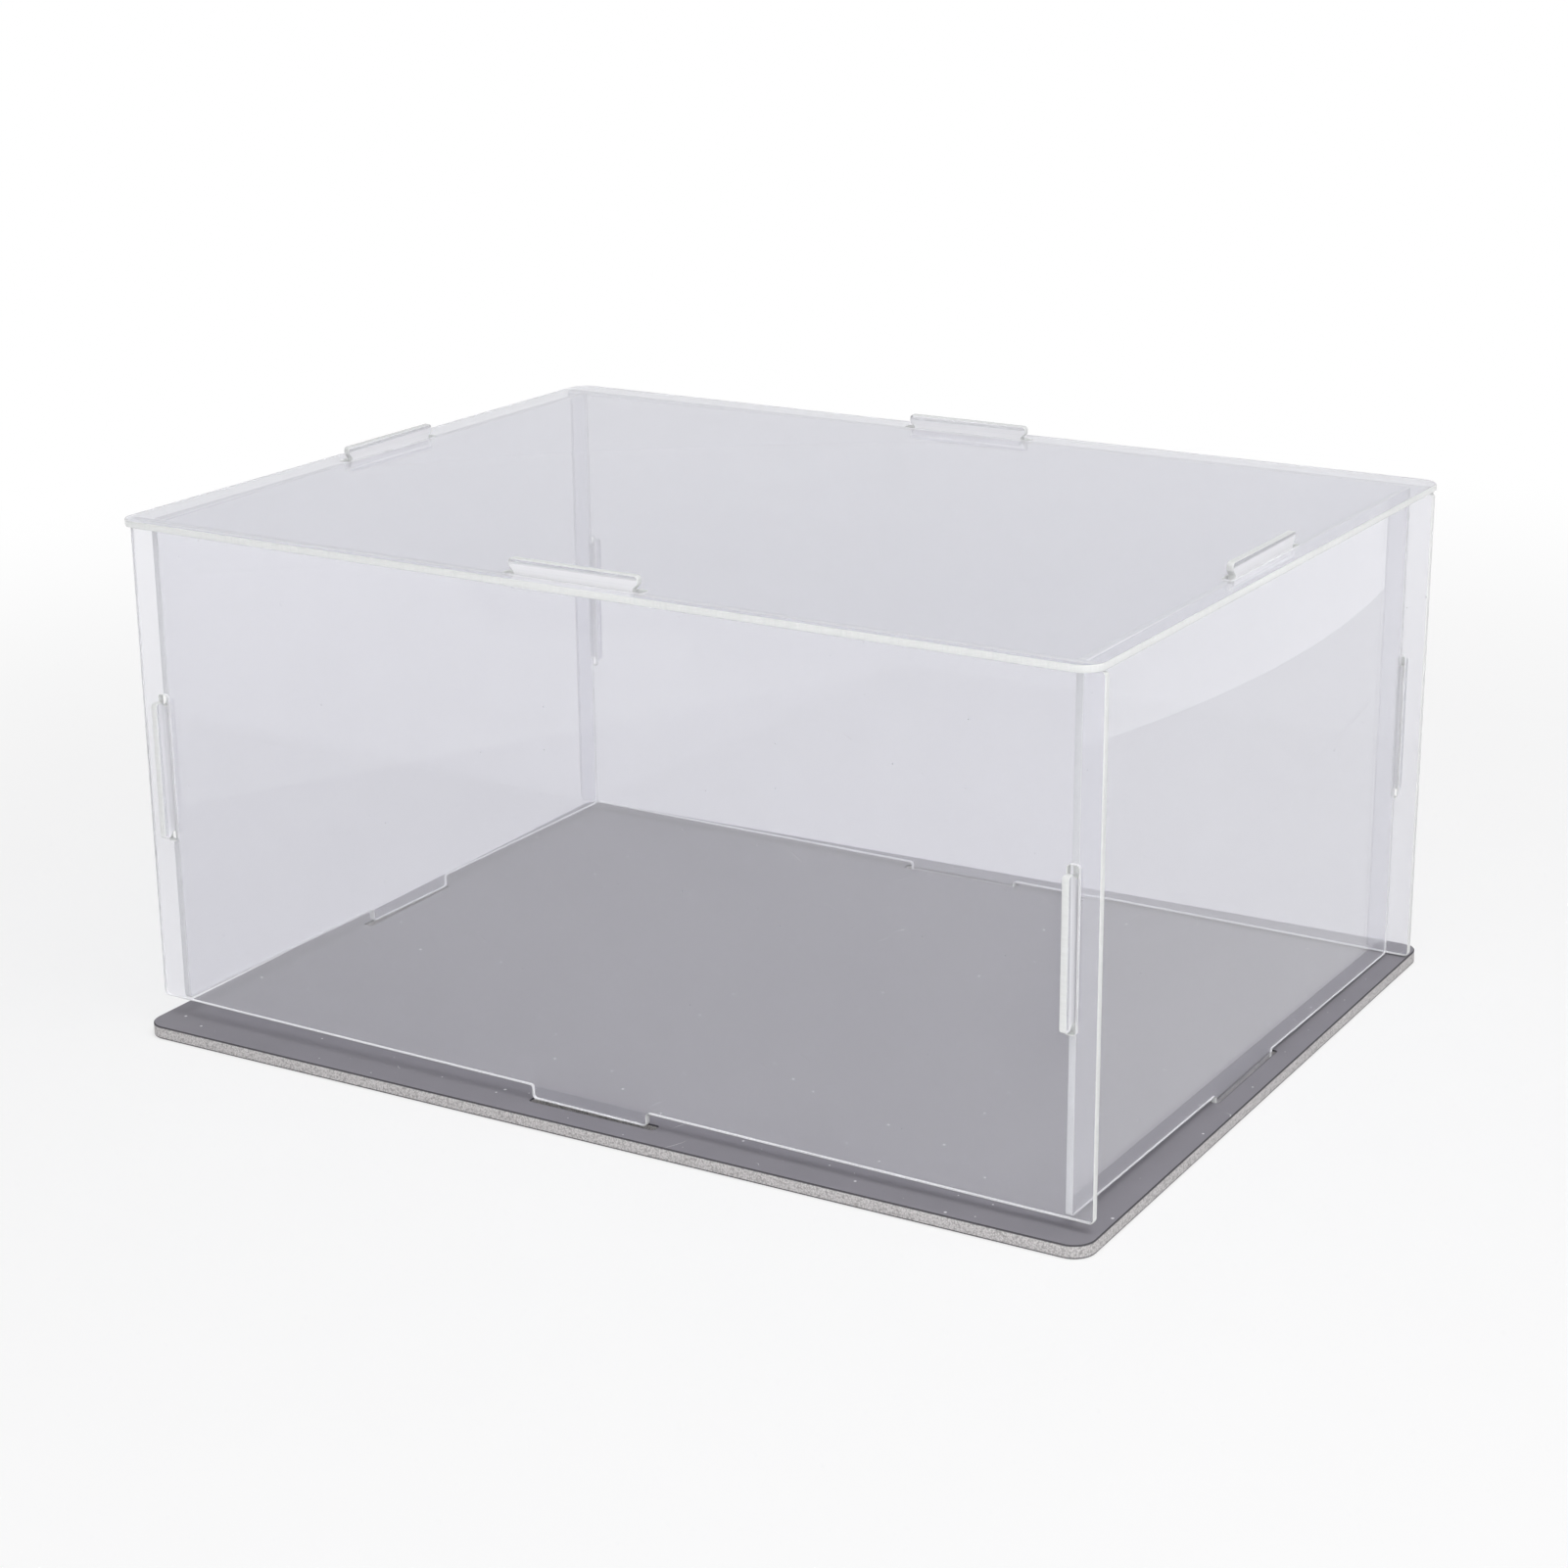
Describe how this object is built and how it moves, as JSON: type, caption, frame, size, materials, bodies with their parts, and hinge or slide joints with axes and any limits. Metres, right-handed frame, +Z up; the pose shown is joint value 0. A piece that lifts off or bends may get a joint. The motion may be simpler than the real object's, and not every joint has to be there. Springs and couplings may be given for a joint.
{
  "type": "display case",
  "caption": "Clear flat-pack display case: a cover of tabbed acrylic sheets with a lift-off top, set on a dark slotted foam board base, for showing a model or keepsake.",
  "frame": {"origin": "middle of the base board's underside, which rests on a table", "axes": "+Z up, +X along the long side to the right as seen from the front, -Y towards the front"},
  "size_m": [0.3211, 0.242, 0.164],
  "materials": {
    "foam_board": "dark grey satin skin with a pale cellular cut edge",
    "clear_acrylic": "clear, polished faces and bright cut edges"
  },
  "bodies": {
    "base": {"base_board": "foam_board"},
    "walls": {"front_wall": "clear_acrylic", "back_wall": "clear_acrylic", "left_wall": "clear_acrylic", "right_wall": "clear_acrylic"},
    "top": {"top_panel": "clear_acrylic"}
  },
  "joints": [
    {"name": "cover_lift", "type": "slide", "parent": "base", "child": "walls", "axis": [0, 0, 1], "range_m": [0, 0.2]},
    {"name": "top_lift", "type": "slide", "parent": "walls", "child": "top", "axis": [0.0087, 0.0118, 0.9999], "range_m": [0, 0.1]}
  ]
}
